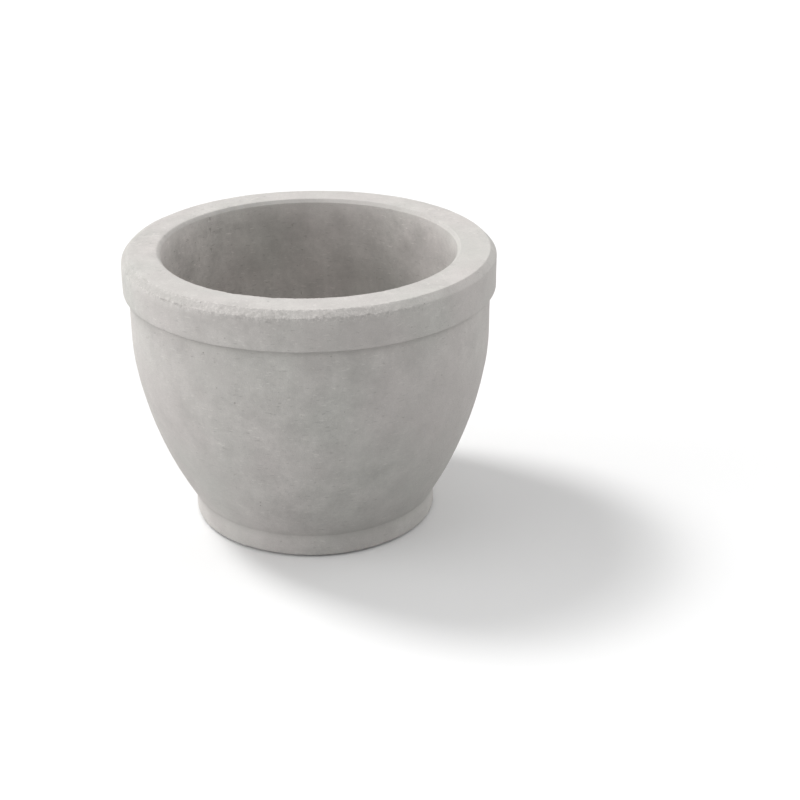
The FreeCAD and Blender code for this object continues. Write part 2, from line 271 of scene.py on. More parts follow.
@dataclass(frozen=True)
class Finish:
    """A finish that is one material, built where the scene has none of its name.

    Attributes:
        name: The material's name.
        roughness: The shader's roughness where nothing varies it.
        specular: The shader's specular level.
    """

    name: str
    roughness: float
    specular: float

    def material(self) -> Material:
        """Finds the material of the finish's name, or builds it.

        Returns:
            The finish's material.
        """
        found = bpy.data.materials.get(self.name)
        if found:
            return found
        made = bpy.data.materials.new(self.name)
        made.use_nodes = True
        board = NodeBoard(made.node_tree)
        shader = made.node_tree.nodes["Principled BSDF"]
        board.feed(shader, {"Roughness": self.roughness, "Specular IOR Level": self.specular})
        self.paint(board, shader)
        return made

    def paint(self, board: NodeBoard, shader: Node) -> None:
        """Lays the finish's own pattern, whose nodes go on the board, on the shader."""
        raise NotImplementedError


@dataclass(frozen=True)
class ConcreteFinish(Finish):
    """Cast concrete: warm and cool clouds, short strokes, sand, pin holes and paler broken edges.

    Attributes:
        warm: The pinkish grey of its clouds.
        cool: The greenish grey of its clouds.
        broken: The pale grey of broken edges.
        grime: The grey of the gaps between broken crumbs, and of the painted shade in creases, at the mouth
            lip and on the rim bevel's soft side.
        damp: What the raw inside keeps of the colour, as painted shade that deepens below the top.
        cloud: The share of the cool grey.
        calm: How strongly calm and busy stretches are marked.
        raw_strength: What the raw inside adds to that.
        mottle: The tone of lighter and darker patches.
        speck: The tone of small light and dark specks.
        stroke: The noise of short strokes.
        pale_tone: The tone of the pale strokes.
        dark_tone: The tone of the dark strokes.
        sand: The noise of grains of sand.
        sand_tone: Their tone.
        sand_relief: Their relief.
        crumb: The noise of broken crumbs along worn edges.
        crumb_share: The share of the pale grey on them.
        gap_share: The share of the dark grey in the gaps between them.
        run: How strongly the painted shade inside shows, in streaks down the wall.
        skin: The noise of bumps in the cast skin.
        skin_relief: Their relief.
        pin_hole: The spacing of the cells that may hold a pin hole, in metres.
        hole_edge: Where a hole ends, in spacings from its middle.
        hole_rarity: The share of the cells that hold none.
        hole_tone: The painted shade in a hole, which darkens it.
        hole_relief: Its relief.
        gloss: What is added to the roughness on the darkest and on the lightest patches.
    """

    warm: Colour = (0.630, 0.601, 0.580, 1.0)
    cool: Colour = (0.612, 0.603, 0.573, 1.0)
    broken: Colour = (0.790, 0.758, 0.732, 1.0)
    grime: Colour = (0.395, 0.386, 0.364, 1.0)
    damp: Colour = (0.852, 0.846, 0.846, 1.0)
    cloud: Cloud = Cloud(0.135, 3.0, 0.5, Span(0.40, 0.66))
    calm: Cloud = Cloud(
        1.0, 3.0, 0.6, Span(0.44, 0.66, 0.36, 1.06), stretch=(1.0 / 0.145,) * 3, shift=(-8.63, -0.08, 11.33)
    )
    raw_strength: float = 0.6
    mottle: Cloud = Cloud(0.030, 4.0, 0.5, Span(0.30, 0.70, 0.90, 1.10))
    speck: Cloud = Cloud(0.0060, 3.0, 0.6, Span(0.30, 0.70, 0.95, 1.05))
    stroke: Cloud = Cloud(1.0, 2.0, 0.5, stretch=(110.0, 110.0, 420.0))
    pale_tone: Span = Span(0.65, 0.70, 1.0, 1.14)
    dark_tone: Span = Span(0.28, 0.34, 0.83, 1.0)
    sand: Cloud = Cloud(0.0011, 2.0, 0.7)
    sand_tone: Span = Span(0.25, 0.75, 0.93, 1.07)
    sand_relief: Relief = Relief(0.0005, 0.5)
    crumb: Cloud = Cloud(0.0026, 4.0, 0.7)
    crumb_share: Span = Span(0.53, 0.60)
    gap_share: Span = Span(0.34, 0.44, 0.42, 0.0)
    run: Cloud = Cloud(1.0, 4.0, 0.6, Span(0.3, 0.7, 0.7, 1.3), (34.0, 34.0, 5.0))
    skin: Cloud = Cloud(0.007, 5.0, 0.65)
    skin_relief: Relief = Relief(0.0009, 0.55)
    pin_hole: float = 0.0065
    hole_edge: Span = Span(0.05, 0.13, 1.0, 0.0)
    hole_rarity: float = 0.93
    hole_tone: Span = Span(first=1.0, last=0.75)
    hole_relief: Relief = Relief(0.0010, 0.8)
    gloss: tuple[float, float] = (-0.06, 0.04)

    def paint(self, board: NodeBoard, shader: Node) -> None:
        """Lays clouds, marks, sand, pin holes, wear and painted shade on the shader.

        Args:
            board: Where its nodes go.
            shader: The shader that they feed.
        """
        raw, sand, holes = board.noted("raw"), board.noise(self.sand), self.pin_holes(board)
        patches = board.layer(self.mottle)
        tone = self.marks(board, patches, raw)
        # The holes are painted darker: painted shade in them.
        for layer in (board.ramp(sand, self.sand_tone), board.ramp(holes, self.hole_tone)):
            tone = board.maths("MULTIPLY", tone, layer)
        clouds = board.mix(board.layer(self.cloud), self.warm, self.cool)
        colour = board.mix(1.0, clouds, board.grey(tone), "MULTIPLY")
        damp = board.maths("MULTIPLY", raw, board.layer(self.run))
        # Painted shade inside: darker with depth below the top, in streaks down the wall.
        colour = board.mix(damp, self.worn(board, colour), self.damp, "MULTIPLY")
        skin = board.relief(board.noise(self.skin), self.skin_relief)
        sanded = board.relief(sand, self.sand_relief, skin)
        pitted = board.relief(board.maths("SUBTRACT", 1.0, holes), self.hole_relief, sanded)
        dark, light = (self.roughness + change for change in self.gloss)
        gloss = board.ramp(patches, Span(self.mottle.span.first, self.mottle.span.last, dark, light))
        board.feed(shader, {"Base Color": colour, "Normal": pitted, "Roughness": gloss})

    def marks(self, board: NodeBoard, patches: NodeSocket, raw: NodeSocket) -> NodeSocket:
        """Joins patches, specks and strokes, which are weaker in the calm stretches.

        Args:
            board: Where its nodes go.
            patches: The tone of the patches.
            raw: 1 on the raw inside and 0 outside.

        Returns:
            Their tone, which is 1 where the colour stays.
        """
        tone, strokes = patches, board.noise(self.stroke)
        pale, dark = (board.ramp(strokes, span) for span in (self.pale_tone, self.dark_tone))
        for layer in (board.layer(self.speck), pale, dark):
            tone = board.maths("MULTIPLY", tone, layer)
        busy = board.maths("MULTIPLY_ADD", raw, self.raw_strength, board.layer(self.calm))
        return board.maths("MULTIPLY_ADD", board.maths("SUBTRACT", tone, 1.0), busy, 1.0)

    def worn(self, board: NodeBoard, colour: NodeSocket) -> NodeSocket:
        """Lays pale crumbs and the gaps between them on a colour, and painted shade in the creases, at the
        mouth lip and on the rim bevel's soft side.

        Args:
            board: Where its nodes go.
            colour: The colour.

        Returns:
            The worn colour.
        """
        wear, crumbs = board.noted("wear"), board.noise(self.crumb)
        pale = board.maths("MULTIPLY", wear, board.ramp(crumbs, self.crumb_share))
        gaps = board.maths("MULTIPLY", wear, board.ramp(crumbs, self.gap_share))
        # Painted shade: the third share darkens the creases, the mouth lip and the soft side of the rim's
        # outer bevel.
        for share, laid in ((pale, self.broken), (gaps, self.grime), (board.noted("painted_shade"), self.grime)):
            colour = board.mix(share, colour, laid)
        return colour

    def pin_holes(self, board: NodeBoard) -> NodeSocket:
        """Small round holes, in a few cells of a scattered pattern.

        Args:
            board: Where its nodes go.

        Returns:
            1 in a hole and 0 outside.
        """
        cells = board.add("ShaderNodeTexVoronoi", {"Vector": board.place(), "Scale": 1.0 / self.pin_hole})
        round_hole = board.ramp(cells.outputs["Distance"], self.hole_edge)
        pick = board.add("ShaderNodeSeparateColor", {"Color": cells.outputs["Color"]}).outputs["Red"]
        return board.maths("MULTIPLY", round_hole, board.maths("GREATER_THAN", pick, self.hole_rarity))


@dataclass(frozen=True, kw_only=True)
class CoatedFinish(Finish):
    """A plain body with a fine relief, under a coat in patches, such as dust, cement or rust.

    Attributes:
        body: The body's colour.
        coat: The coat's colour.
        patches: The share of the coat.
        coat_rough: The roughness where the coat is thickest.
        grain: The noise of the relief.
        relief: The relief.
        metal: How metallic the body is where no coat lies on it.
    """

    body: Colour
    coat: Colour
    patches: Cloud
    coat_rough: float
    grain: Cloud
    relief: Relief
    metal: float = 0.0

    def paint(self, board: NodeBoard, shader: Node) -> None:
        """Lays the patches of the coat and the relief on the shader.

        Args:
            board: Where its nodes go.
            shader: The shader that they feed.
        """
        coated = board.layer(self.patches)
        matt = Span(0.0, self.patches.span.last, self.roughness, self.coat_rough)
        board.feed(shader, {
            "Base Color": board.mix(coated, self.body, self.coat), "Roughness": board.ramp(coated, matt),
            "Normal": board.relief(board.noise(self.grain), self.relief),
        })
        if self.metal:
            board.feed(shader, {"Metallic": board.ramp(coated, Span(first=self.metal, last=0.0))})


CONCRETE = ConcreteFinish("cast_concrete", roughness=0.90, specular=0.28)
# Known fault: the frame brings plain materials of the next four names. They are found first, so the solids
# show those, and these finishes are not built until they have names of their own.
PLUG_RUBBER = CoatedFinish(
    "plug_rubber", roughness=0.55, specular=0.45,
    body=(0.030, 0.030, 0.032, 1.0), coat=(0.190, 0.180, 0.168, 1.0), coat_rough=0.75,
    patches=Cloud(0.009, 6.0, 0.7, Span(0.48, 0.80, 0.0, 0.55)),
    grain=Cloud(0.0006, 2.0, 0.55), relief=Relief(0.0002, 0.5),
)
PAD_RUBBER = replace(
    PLUG_RUBBER, name="pad_rubber", roughness=0.70, specular=0.35,
    body=(0.040, 0.039, 0.038, 1.0), coat_rough=0.90,
)
SLEEVE_PLASTIC = CoatedFinish(
    "sleeve_plastic", roughness=0.42, specular=0.5,
    body=(0.235, 0.242, 0.250, 1.0), coat=(0.560, 0.540, 0.515, 1.0), coat_rough=0.85,
    patches=Cloud(0.006, 6.0, 0.65, Span(0.54, 0.70, 0.0, 0.7)),
    grain=Cloud(1.0, 3.0, 0.6, stretch=(900.0, 900.0, 30.0)), relief=Relief(0.00015, 0.4),
)
STEEL_WIRE = CoatedFinish(
    "steel_wire", roughness=0.34, specular=0.5, metal=1.0,
    body=(0.460, 0.450, 0.440, 1.0), coat=(0.230, 0.095, 0.040, 1.0), coat_rough=0.85,
    patches=Cloud(0.012, 6.0, 0.7, Span(0.42, 0.66)),
    grain=Cloud(0.0011, 3.0, 0.7), relief=Relief(0.0003, 0.7),
)


@dataclass
class OutlinePen:
    """Draws an outline in the XZ plane, edge by edge.

    Attributes:
        mesh: The mesh that takes the outline.
        tip: The last point drawn.
        corners: The named points, to be rounded later.
    """

    mesh: BMesh
    tip: BMVert
    corners: dict[str, BMVert] = field(default_factory=dict)

    def line(self, radius: float, height: float, corner: str = "") -> None:
        """Draws a straight edge.

        Args:
            radius: Where it ends, from the axis.
            height: Where it ends, from the ground.
            corner: A name for its end, if it is to be rounded.
        """
        self.tip = bmesh.ops.extrude_vert_indiv(self.mesh, verts=[self.tip])["verts"][0]
        self.tip.co = Vector((radius, 0.0, height))
        if corner:
            self.corners[corner] = self.tip

    def arc(self, axis_radius: float, axis_height: float, turn: float, step: float) -> None:
        """Draws an arc as a row of edges.

        Args:
            axis_radius: Where its centre is, from the axis.
            axis_height: Where its centre is, from the ground.
            turn: How far it turns, in radians, counter-clockwise.
            step: The length of an edge.
        """
        centre = Vector((axis_radius, 0.0, axis_height))
        steps = max(2, math.ceil((self.tip.co - centre).length * abs(turn) / step))
        turned = bmesh.ops.spin(
            self.mesh, geom=[self.tip], cent=centre, axis=ACROSS, dvec=Vector(), angle=turn, steps=steps
        )
        self.tip = next(g for g in turned["geom_last"] if isinstance(g, BMVert))

    def round_corner(self, corner: str, radius: float, segments: int) -> None:
        """Rounds a named corner.

        Args:
            corner: Its name.
            radius: The radius it gets.
            segments: The edges round it.
        """
        point = self.corners[corner]
        first, second = (e.other_vert(point).co - point.co for e in point.link_edges)
        bend = math.pi - first.angle(second)
        bmesh.ops.bevel(
            self.mesh, geom=[point], offset=radius * math.tan(bend / 2.0), offset_type="OFFSET",
            segments=segments, profile=0.5, affect="VERTICES", material=-1,
        )


@dataclass(frozen=True)
class CornerRound:
    """A rounded corner of the half section.

    Attributes:
        corner: The corner's name.
        radius: Its radius, in metres.
        segments: The edges round it.
    """

    corner: str
    radius: float
    segments: int


@dataclass
class PotOutline:
    """The half section of the casting, in metres, from the frame and the casting's own sizes.

    Attributes:
        rim_radius, top: The radius of the rim band and the height of its flat top.
        base, floor, recess: The heights of the foot's underside, the inner floor and the recess under it.
        collar_radius, sleeve_radius: The radii of the drain sleeve's collar and tube.
        collar_width, collar_drop: How far the collar stands out, and how thick it is.
        seat_gap: The room between the casting and the sleeve.
        band_height, band_overhang: The height of the rim band, and how far it stands out from the neck.
        cove_drop: The height of the slope under the band.
        rim_bevel, mouth_bevel: The widths of the bevels outside and inside the flat top.
        wall, neck_length: The thickness of the wall and the height of the straight neck.
        shoulder_radius: The radius of the arc under the neck.
        shoulder_turn_share: That arc's share of the fall from the neck to the foot.
        foot_radius, foot_height: The radius and the height of the foot.
        foot_ring_width: The width of the ring that the foot stands on.
        recess_draft: How much narrower the recess is at its top.
        corner_rise: How high over the floor the inner wall's arc ends.
        step, rim_step, hidden_step: The longest edges outside, at the rim and where little shows.
        edge_reach: How far beyond its border a stretch of the casting still counts.
        rounds: The rounded corners.
    """

    rim_radius: float
    top: float
    base: float
    floor: float
    recess: float
    collar_radius: float
    sleeve_radius: float
    collar_width: float = 0.006
    collar_drop: float = 0.004
    seat_gap: float = 0.00015
    band_height: float = 0.045
    band_overhang: float = 0.0065
    cove_drop: float = 0.003
    rim_bevel: float = 0.0075
    mouth_bevel: float = 0.0042
    wall: float = 0.039
    neck_length: float = 0.047
    shoulder_radius: float = 0.270
    shoulder_turn_share: float = 0.557
    foot_radius: float = 0.1445
    foot_height: float = 0.026
    foot_ring_width: float = 0.036
    recess_draft: float = 0.004
    corner_rise: float = 0.0152
    step: float = 0.0034
    rim_step: float = 0.0016
    hidden_step: float = 0.0065
    edge_reach: float = 0.003
    rounds: tuple[CornerRound, ...] = (
        CornerRound("foot_edge", 0.0015, 3), CornerRound("crease", 0.003, 3), CornerRound("cove", 0.003, 3),
        CornerRound("band_edge", 0.0015, 3), CornerRound("bevel_low", 0.0024, 3),
        CornerRound("bevel_high", 0.0014, 3), CornerRound("mouth_high", 0.001, 2),
        CornerRound("mouth_low", 0.0012, 2), CornerRound("floor_corner", 0.028, 7),
    )

    @classmethod
    def from_frame(cls) -> "PotOutline":
        """Reads the casting's reach and the drain's seat from the frame.

        Returns:
            The outline at its real size.
        """
        low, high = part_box("concrete_shell")
        sleeve_low, sleeve_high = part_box("drain_sleeve")
        collar = (sleeve_high[0] - sleeve_low[0]) / 2.0
        return cls(
            rim_radius=(high[0] - low[0]) / 2.0, top=high[2], base=low[2], floor=sleeve_high[2],
            recess=sleeve_low[2], collar_radius=collar, sleeve_radius=collar - cls.collar_width,
        )

    @property
    def neck_radius(self) -> float:
        """The straight neck under the band."""
        return self.rim_radius - self.band_overhang

    @property
    def mouth_radius(self) -> float:
        """The straight inner wall."""
        return self.neck_radius - self.wall

    @property
    def band(self) -> float:
        """The height of the band's lower edge."""
        return self.top - self.band_height

    @property
    def rim(self) -> float:
        """The height over which the casting counts as rim."""
        return self.top - 2.0 * self.rim_bevel

    @property
    def bevel_middle(self) -> Vector:
        """The middle of the rim's outer bevel, as radius and height."""
        return Vector((self.rim_radius - self.rim_bevel / 2.0, self.top - self.rim_bevel / 2.0))

    @property
    def cove(self) -> float:
        """The height where the slope under the band meets the neck."""
        return self.band - self.cove_drop

    @property
    def neck(self) -> float:
        """The height where the neck starts to curve in."""
        return self.cove - self.neck_length

    @property
    def foot(self) -> float:
        """The height of the crease over the foot."""
        return self.base + self.foot_height

    @property
    def shoulder_turn(self) -> float:
        """How far the shoulder arc turns, in radians."""
        fall = math.atan2(self.neck_radius - self.foot_radius, self.neck - self.foot)
        return fall * self.shoulder_turn_share

    @property
    def shoulder_axis(self) -> Vector:
        """The centre of the shoulder arc, as radius and height."""
        return Vector((self.neck_radius - self.shoulder_radius, self.neck))

    @property
    def belly_radius(self) -> float:
        """The radius of the arc that carries the shoulder on to the foot."""
        turn = self.shoulder_turn
        end = self.shoulder_axis + self.shoulder_radius * Vector((math.cos(turn), -math.sin(turn)))
        reach = end - Vector((self.foot_radius, self.foot))
        return reach.length_squared / (2.0 * (reach.x * math.cos(turn) - reach.y * math.sin(turn)))

    @property
    def belly_axis(self) -> Vector:
        """The centre of the belly arc, as radius and height."""
        turn = self.shoulder_turn
        gap = self.belly_radius - self.shoulder_radius
        return self.shoulder_axis - gap * Vector((math.cos(turn), -math.sin(turn)))

    def fall_at(self, radius: float, height: float) -> float:
        """How far an arc about the belly's centre has turned at a height, in radians."""
        return math.asin((self.belly_axis.y - height) / radius)

    def draw(self, mesh: BMesh) -> None:
        """Draws the closed half section.

        Args:
            mesh: The mesh that takes it.
        """
        recess_radius = self.foot_radius - self.foot_ring_width
        start = mesh.verts.new((recess_radius, 0.0, self.base))
        pen = OutlinePen(mesh, start)
        self.draw_outside(pen)
        self.draw_inside(pen)
        pen.line(self.collar_radius + self.seat_gap, self.floor - self.collar_drop)
        pen.line(self.sleeve_radius + self.seat_gap, self.floor - self.collar_drop)
        pen.line(self.sleeve_radius + self.seat_gap, self.recess)
        pen.line(recess_radius - self.recess_draft, self.recess)
        mesh.edges.new((pen.tip, start))
        for bend in self.rounds:
            pen.round_corner(bend.corner, bend.radius, bend.segments)
        self.divide(mesh)

    def draw_outside(self, pen: OutlinePen) -> None:
        """Draws the foot, the belly, the neck and the band, up to the rim's flat top.

        Args:
            pen: The pen, at the inner edge of the foot ring.
        """
        belly, shoulder = self.belly_axis, self.shoulder_axis
        pen.line(self.foot_radius, self.base, "foot_edge")
        pen.line(self.foot_radius, self.foot, "crease")
        pen.arc(*belly, self.fall_at(self.belly_radius, self.foot) - self.shoulder_turn, self.step)
        pen.arc(*shoulder, self.shoulder_turn, self.step)
        pen.line(self.neck_radius, self.cove, "cove")
        pen.line(self.rim_radius, self.band, "band_edge")
        pen.line(self.rim_radius, self.top - self.rim_bevel, "bevel_low")
        pen.line(self.rim_radius - self.rim_bevel, self.top, "bevel_high")

    def draw_inside(self, pen: OutlinePen) -> None:
        """Draws the rim's flat top, the inner wall and the floor, up to the drain.

        Args:
            pen: The pen, at the outer edge of the flat top.
        """
        belly, shoulder = self.belly_axis, self.shoulder_axis
        pen.line(self.mouth_radius + self.mouth_bevel, self.top, "mouth_high")
        pen.line(self.mouth_radius, self.top - self.mouth_bevel, "mouth_low")
        pen.line(self.mouth_radius, self.neck)
        pen.arc(*shoulder, -self.shoulder_turn, self.hidden_step)
        inner = self.belly_radius - self.wall
        reach = self.fall_at(inner, self.floor + self.corner_rise)
        pen.arc(*belly, self.shoulder_turn - reach, self.hidden_step)
        floor_edge = belly.x + inner * math.cos(self.fall_at(inner, self.floor))
        pen.line(floor_edge, self.floor, "floor_corner")
        pen.line(self.collar_radius + self.seat_gap, self.floor)

    def side_of(self, radius: float, height: float) -> Side:
        """Tells which stretch of the casting a point lies on.

        Args:
            radius: Its distance from the axis.
            height: Its height.

        Returns:
            The stretch.
        """
        if height > self.rim and radius > self.mouth_radius:
            return Side.RIM
        if height < self.base + self.edge_reach and radius < self.foot_radius - self.edge_reach:
            return Side.UNDERSIDE
        inner = self.foot_radius if height < self.foot else self.mouth_radius + self.wall / 2.0
        if self.foot <= height < self.neck:
            turn = math.asin(min(1.0, (self.belly_axis.y - height) / self.belly_radius))
            inner = self.belly_axis.x + (self.belly_radius - self.wall / 2.0) * math.cos(turn)
        if height <= self.recess and radius < self.foot_radius - self.edge_reach:
            return Side.UNDERSIDE
        return Side.OUTSIDE if radius > inner - self.edge_reach else Side.INSIDE

    def span_of(self, side: Side) -> tuple[tuple[float, float], tuple[float, float]]:
        """The radii and the heights between which a stretch of the casting lies.

        Args:
            side: The stretch.

        Returns:
            The least and the greatest radius, and the least and the greatest height.
        """
        return {
            Side.UNDERSIDE: ((self.sleeve_radius, self.foot_radius), (self.base, self.recess)),
            Side.OUTSIDE: ((self.foot_radius, self.rim_radius), (self.base, self.rim)),
            Side.RIM: ((self.mouth_radius, self.rim_radius), (self.rim, self.top)),
            Side.INSIDE: ((self.collar_radius, self.mouth_radius), (self.floor, self.rim)),
        }[side]

    def divide(self, mesh: BMesh) -> None:
        """Divides long edges: finely at the rim, plainly outside, widely where little shows.

        Args:
            mesh: The mesh that holds the half section.
        """
        for edge in list(mesh.edges):
            middle = (edge.verts[0].co + edge.verts[1].co) / 2.0
            side = self.side_of(middle.x, middle.z)
            step = {Side.RIM: self.rim_step, Side.OUTSIDE: self.step}.get(side, self.hidden_step)
            cuts = math.ceil(edge.calc_length() / step) - 1
            if cuts > 0:
                bmesh.ops.subdivide_edges(mesh, edges=[edge], cuts=cuts)


@dataclass(frozen=True)
class PitGroup:
    """Pits of one kind, as air bubbles leave them, on one stretch of the casting.

    Attributes:
        side: The stretch.
        count: How many there are.
        lip: How far a pit's edge lies inside its face, in metres.
        slope: The width of its sloping side, in metres.
        depth: Its depth, in metres.
    """

    side: Side
    count: int
    lip: float
    slope: float
    depth: float


@dataclass(frozen=True)
class WornEdge:
    """An edge of the half section that wears, or a crease that is painted darker as painted shade.

    Attributes:
        at: Its radius and height, in metres.
        reach: How far the wear or the painted shade reaches from it, in metres.
        share: How much of that it takes itself.
    """

    at: Vector
    reach: float
    share: float

    def near(self, spot: Vector) -> float:
        """How much of the wear or the painted shade a spot takes, from its radius and height."""
        return self.share * math.exp(-((spot - self.at).length / self.reach) ** 2)


@dataclass(frozen=True)
class Lumps:
    """A noise that shapes the casting.

    Attributes:
        depth: What a value of 1 stands for.
        pitch: How often its lumps come, per metre.
        fade: How fast its finer layers fade, where it has some.
        layers: How many layers it has.
        finer: How much finer each layer is than the one before.
    """

    depth: float
    pitch: float
    fade: float = 1.0
    layers: int = 1
    finer: float = 2.0

    def at(self, place: Vector) -> float:
        """Its value at a place, from about -1 to 1."""
        spot, layered = place * self.pitch, (self.fade, self.finer, self.layers)
        return noise.fractal(spot, *layered) if self.layers > 1 else noise.noise(spot)


@dataclass
class ConcretePot:
    """The casting, worn at its edges and pitted as cast concrete is.

    Attributes:
        outline: Its half section.
        name: The piece's name.
        sectors: The like sectors that it is turned in, a power of two.
        segments: The faces round one sector.
        rim_cuts: How often a face at the rim is cut again along the rim.
        swell: Its broad unevenness, in metres.
        ripple: Its finer unevenness, in metres.
        crumble: The broken crumbs along its edges, in metres.
        crumb_bias: What is added to their noise before it counts.
        chip: The chips along its edges, in metres.
        chip_span: The values of their noise at which a chip starts and is full.
        rub: How far its edges are rubbed round on the soft side, in metres.
        rough_side: The direction, seen from above, in which the edges are broken most.
        soft_side: The direction in which they are rubbed most.
        side_span: The cosines from a side's direction at which that side starts and is full.
        border: The unevenness of a side's border, as a cosine.
        far_wear: The share of the breaks that the side facing away keeps.
        raw_fade: How far below the top the inside takes to turn raw and to take its full painted shade, in
            metres.
        raw_reach: How far from the inner wall a point of the rim counts as inside, in metres.
        pits: The pits.
        seed: What the places of the pits are drawn from.
    """

    outline: PotOutline
    name: str = "concrete_pot"
    sectors: int = 8
    segments: int = 32
    rim_cuts: int = 2
    swell: Lumps = Lumps(0.0006, 11.0)
    ripple: Lumps = Lumps(0.0003, 38.0, 0.8, 3)
    crumble: Lumps = Lumps(0.0012, 380.0, 0.7, 2)
    crumb_bias: float = 0.10
    chip: Lumps = Lumps(0.0007, 110.0)
    chip_span: tuple[float, float] = (0.28, 0.48)
    rub: float = 0.0011
    rough_side: Vector = field(default_factory=lambda: Vector((-0.30, -1.0, 0.0)))
    soft_side: Vector = field(default_factory=lambda: Vector((-1.0, -0.3, 0.0)))
    side_span: tuple[float, float] = (0.25, 0.95)
    border: Lumps = Lumps(0.35, 14.0)
    far_wear: float = 0.10
    raw_fade: float = 0.030
    raw_reach: float = 1e-4
    pits: tuple[PitGroup, ...] = (
        PitGroup(Side.OUTSIDE, 26, 0.0012, 0.0004, 0.0006),
        PitGroup(Side.OUTSIDE, 22, 0.0008, 0.0006, 0.0009),
        PitGroup(Side.RIM, 26, 0.0003, 0.0003, 0.0005),
        PitGroup(Side.INSIDE, 70, 0.0009, 0.0005, 0.0008),
        PitGroup(Side.UNDERSIDE, 18, 0.0008, 0.0005, 0.0008),
    )
    seed: int = 4852

    def build(self) -> Object:
        """Makes the piece.

        Returns:
            The casting's object.
        """
        mesh = self.turned()
        self.divide_rim(mesh)
        self.weather(mesh)
        self.pit(mesh)
        for face in mesh.faces:
            face.smooth = True
        return as_object(self.name, mesh)

    def turned(self) -> BMesh:
        """Turns the half section: one sector by a spin, and the rest as copies of it.

        Returns:
            The smooth casting, closed.
        """
        mesh = bmesh.new()
        self.outline.draw(mesh)
        sector = FULL_TURN / self.sectors
        bmesh.ops.spin(
            mesh, geom=[*mesh.verts, *mesh.edges], cent=Vector(), axis=UP, dvec=Vector(),
            angle=sector, steps=self.segments,
        )
        done = 1
        while done < self.sectors:
            copied = bmesh.ops.duplicate(mesh, geom=[*mesh.verts, *mesh.edges, *mesh.faces])["geom"]
            points = [g for g in copied if isinstance(g, BMVert)]
            turn = Matrix.Rotation(done * sector, 3, UP)
            bmesh.ops.rotate(mesh, verts=points, cent=Vector(), matrix=turn)
            done *= 2
        bmesh.ops.remove_doubles(mesh, verts=mesh.verts, dist=SAME)
        bmesh.ops.recalc_face_normals(mesh, faces=mesh.faces)
        return mesh

    def divide_rim(self, mesh: BMesh) -> None:
        """Cuts the faces at the rim again, so that its broken edges can be fine.

        Args:
            mesh: The turned casting.
        """
        level = [e for e in mesh.edges if abs(e.verts[0].co.z - e.verts[1].co.z) < SAME]
        along = [e for e in level if abs(self.radius_of(e.verts[0]) - self.radius_of(e.verts[1])) < SAME]
        at_rim = [e for e in along if self.side_at(e.verts[0].co) is Side.RIM]
        bmesh.ops.subdivide_edges(mesh, edges=at_rim, cuts=self.rim_cuts, use_grid_fill=True)

    @staticmethod
    def radius_of(point: BMVert) -> float:
        """A point's distance from the axis."""
        return math.hypot(point.co.x, point.co.y)

    def side_at(self, place: Vector) -> Side:
        """The stretch of the casting that a place lies on."""
        return self.outline.side_of(math.hypot(place.x, place.y), place.z)

    def dress(self, piece: Object) -> None:
        """Gives the piece its finish and its place in the frame.

        Args:
            piece: The casting's object.
        """
        piece.data.materials.append(CONCRETE.material())
        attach(piece, "pot")
        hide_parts("concrete_shell")

    def edges(self) -> list[WornEdge]:
        """Lists the edges that wear.

        Returns:
            The edges.
        """
        o = self.outline
        return [
            WornEdge(Vector((o.rim_radius, o.top - o.rim_bevel)), 0.0042, 1.0),
            WornEdge(o.bevel_middle, 0.0040, 0.6),
            WornEdge(Vector((o.rim_radius - o.rim_bevel, o.top)), 0.0030, 0.8),
            WornEdge(Vector((o.mouth_radius + o.mouth_bevel, o.top)), 0.0026, 0.4),
            WornEdge(Vector((o.mouth_radius, o.top - o.mouth_bevel)), 0.0024, 0.4),
            WornEdge(Vector((o.rim_radius, o.band)), 0.0030, 0.3),
            WornEdge(Vector((o.foot_radius, o.base)), 0.0030, 0.5),
        ]

    def creases(self) -> list[WornEdge]:
        """Lists the creases that are painted darker all round, as painted shade.

        Returns:
            The creases.
        """
        o = self.outline
        return [
            WornEdge(Vector((o.neck_radius, o.cove)), 0.0035, 0.35),
            WornEdge(Vector((o.foot_radius, o.foot)), 0.0045, 0.26),
            WornEdge(Vector((o.mouth_radius, o.top)) + Vector((0.5, -0.5)) * o.mouth_bevel, 0.0034, 0.26),
        ]

    def soiled_bevel(self) -> WornEdge:
        """The rim's outer bevel, painted darker on the soft side as painted shade."""
        return WornEdge(self.outline.bevel_middle, 0.0055, 0.42)

    def weather(self, mesh: BMesh) -> None:
        """Sinks each point by the unevenness and the wear at its place, and notes what tints it.

        Args:
            mesh: The turned casting.
        """
        wear_layer = mesh.verts.layers.float.new("wear")
        painted_shade_layer = mesh.verts.layers.float.new("painted_shade")
        raw_layer = mesh.verts.layers.float.new("raw")
        edges, creases, bevel = self.edges(), self.creases(), self.soiled_bevel()
        mesh.normal_update()
        for point in mesh.verts:
            place = point.co.copy()
            spot = Vector((self.radius_of(point), place.z))
            rough, soft = (self.facing(place, side) for side in (self.rough_side, self.soft_side))
            near = max(edge.near(spot) for edge in edges)
            broken = near * (self.far_wear + (1.0 - self.far_wear) * rough ** 2)
            rubbed = near * soft
            crumbs = self.crumble.depth * max(0.0, self.crumb_bias + self.crumble.at(place))
            chips = self.chip.depth * self.ease(self.chip.at(place), *self.chip_span)
            point[wear_layer] = min(1.0, broken)
            # Painted shade in the creases, at the mouth lip and on the soft side of the rim's outer bevel.
            point[painted_shade_layer] = max(bevel.near(spot) * soft, *(crease.near(spot) for crease in creases))
            side = self.side_at(place)
            by_wall = spot.x < self.outline.mouth_radius + self.raw_reach
            # The raw inside's value also sets its painted shade, which deepens below the top.
            if side is Side.INSIDE or side is Side.RIM and by_wall:
                point[raw_layer] = self.ease(self.outline.top - place.z, 0.0, self.raw_fade)
            depth = broken * (crumbs + chips) + self.rub * rubbed + self.unevenness(place)
            point.co = place - point.normal * depth

